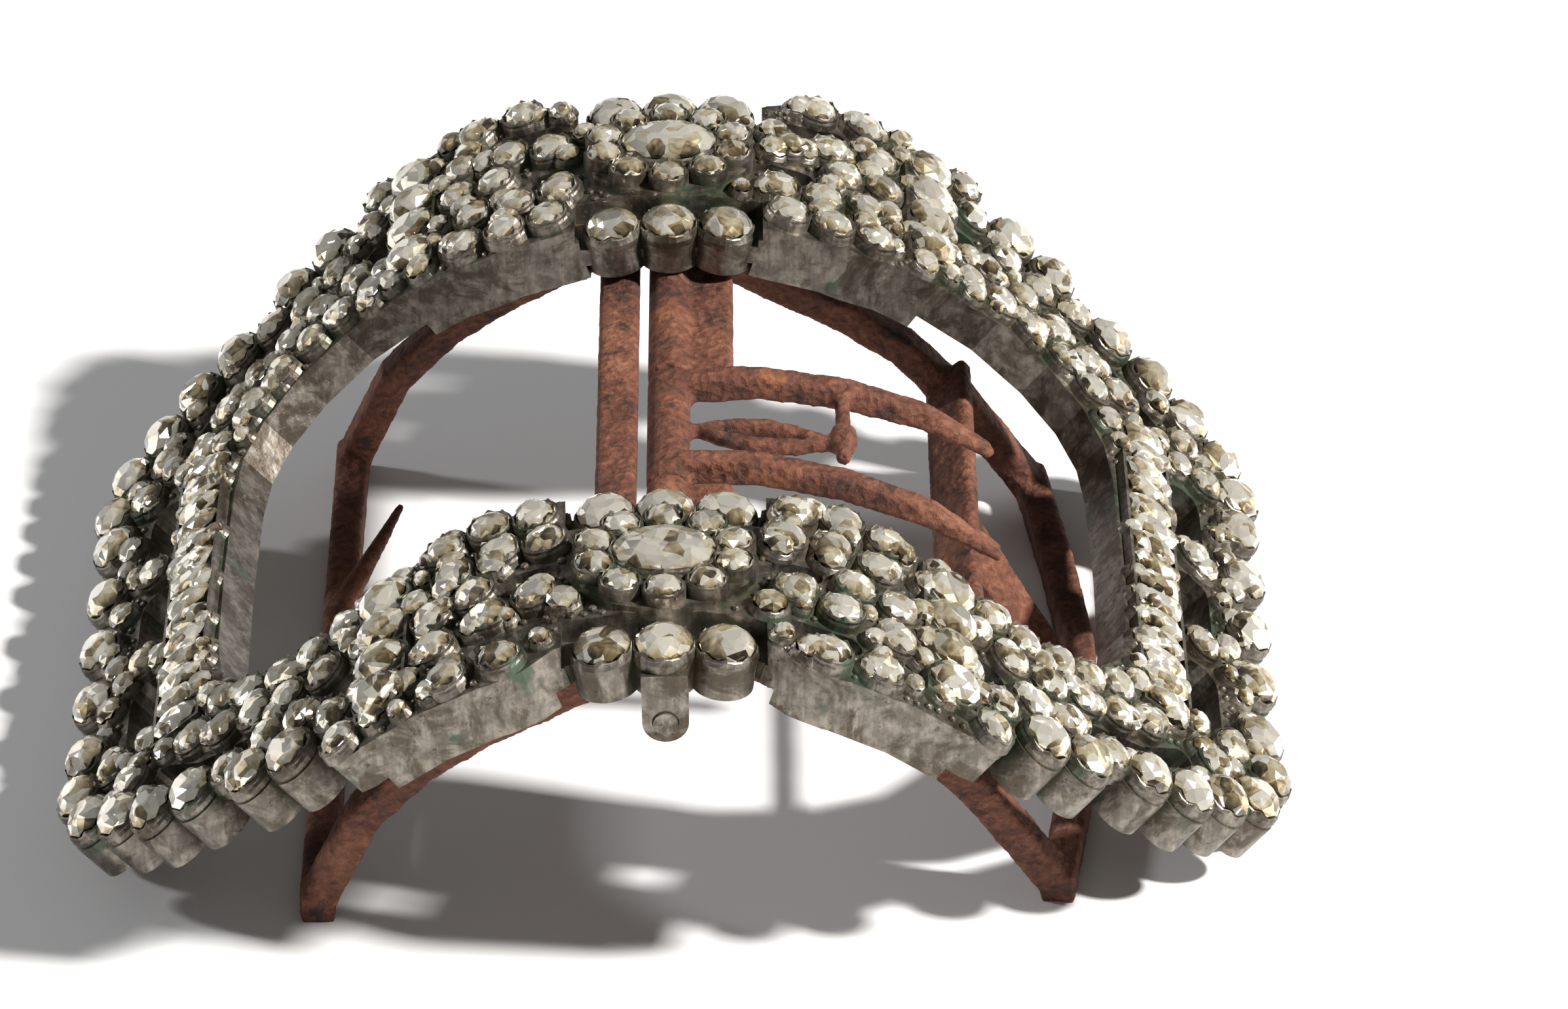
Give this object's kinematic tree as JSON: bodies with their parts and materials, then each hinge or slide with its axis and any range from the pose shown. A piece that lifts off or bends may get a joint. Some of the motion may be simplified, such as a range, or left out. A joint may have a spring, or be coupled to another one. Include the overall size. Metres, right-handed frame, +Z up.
{
  "type": "shoe buckle",
  "caption": "Large arched oval shoe buckle: pierced silver frame set with paste stones, spindle, iron chape of two swinging loops and a double tongue.",
  "frame": {"origin": "middle of the footprint on the floor, under the middle of the spindle", "axes": "+X along the arch towards the tongue loop, +Y along the spindle, +Z up"},
  "size_m": [0.0834, 0.0724, 0.0319],
  "materials": {
    "silver": "aged silver, tarnished, greenish in the recesses",
    "iron": "rusted",
    "paste": "cut and polished, foiled"
  },
  "bodies": {
    "buckle": {"frame": "silver", "spindle": "iron", "rosette_stone_near": "paste", "rosette_stone_far": "paste", "ring_stones_near": "paste", "ring_stones_far": "paste", "bow_stones_near_left": "paste", "bow_stones_near_right": "paste", "bow_stones_far_left": "paste", "bow_stones_far_right": "paste", "flank_stones_left": "paste", "flank_stones_right": "paste", "cluster_stone_1": "paste", "cluster_stone_2": "paste", "cluster_stone_3": "paste", "cluster_stone_4": "paste", "cluster_stone_5": "paste", "cluster_stone_6": "paste", "cluster_stone_7": "paste", "cluster_stone_8": "paste", "cluster_stone_9": "paste", "cluster_stone_10": "paste", "cluster_stone_11": "paste", "cluster_stone_12": "paste", "band_stone_1": "paste", "band_stone_2": "paste", "band_stone_3": "paste", "band_stone_4": "paste", "band_stone_5": "paste", "band_stone_6": "paste", "band_stone_7": "paste", "band_stone_8": "paste", "band_stone_9": "paste", "band_stone_10": "paste", "band_stone_11": "paste", "band_stone_12": "paste", "band_stone_13": "paste", "band_stone_14": "paste", "band_stone_15": "paste", "band_stone_16": "paste"},
    "heel_loop": {"heel_loop": "iron"},
    "tongue_loop": {"tongue_loop": "iron"},
    "tongue": {"tongue": "iron"}
  },
  "joints": [
    {"name": "heel_loop_swing", "type": "hinge", "parent": "buckle", "child": "heel_loop", "pos_m": [0, 0, 0.024], "axis": [0, -1, 0], "range_deg": [0, 45]},
    {"name": "tongue_loop_swing", "type": "hinge", "parent": "buckle", "child": "tongue_loop", "pos_m": [0, 0, 0.024], "axis": [0, 1, 0], "range_deg": [0, 45]},
    {"name": "tongue_lift", "type": "hinge", "parent": "tongue_loop", "child": "tongue", "pos_m": [0, 0, 0.024], "axis": [0, -1, 0], "range_deg": [-12, 70]}
  ]
}
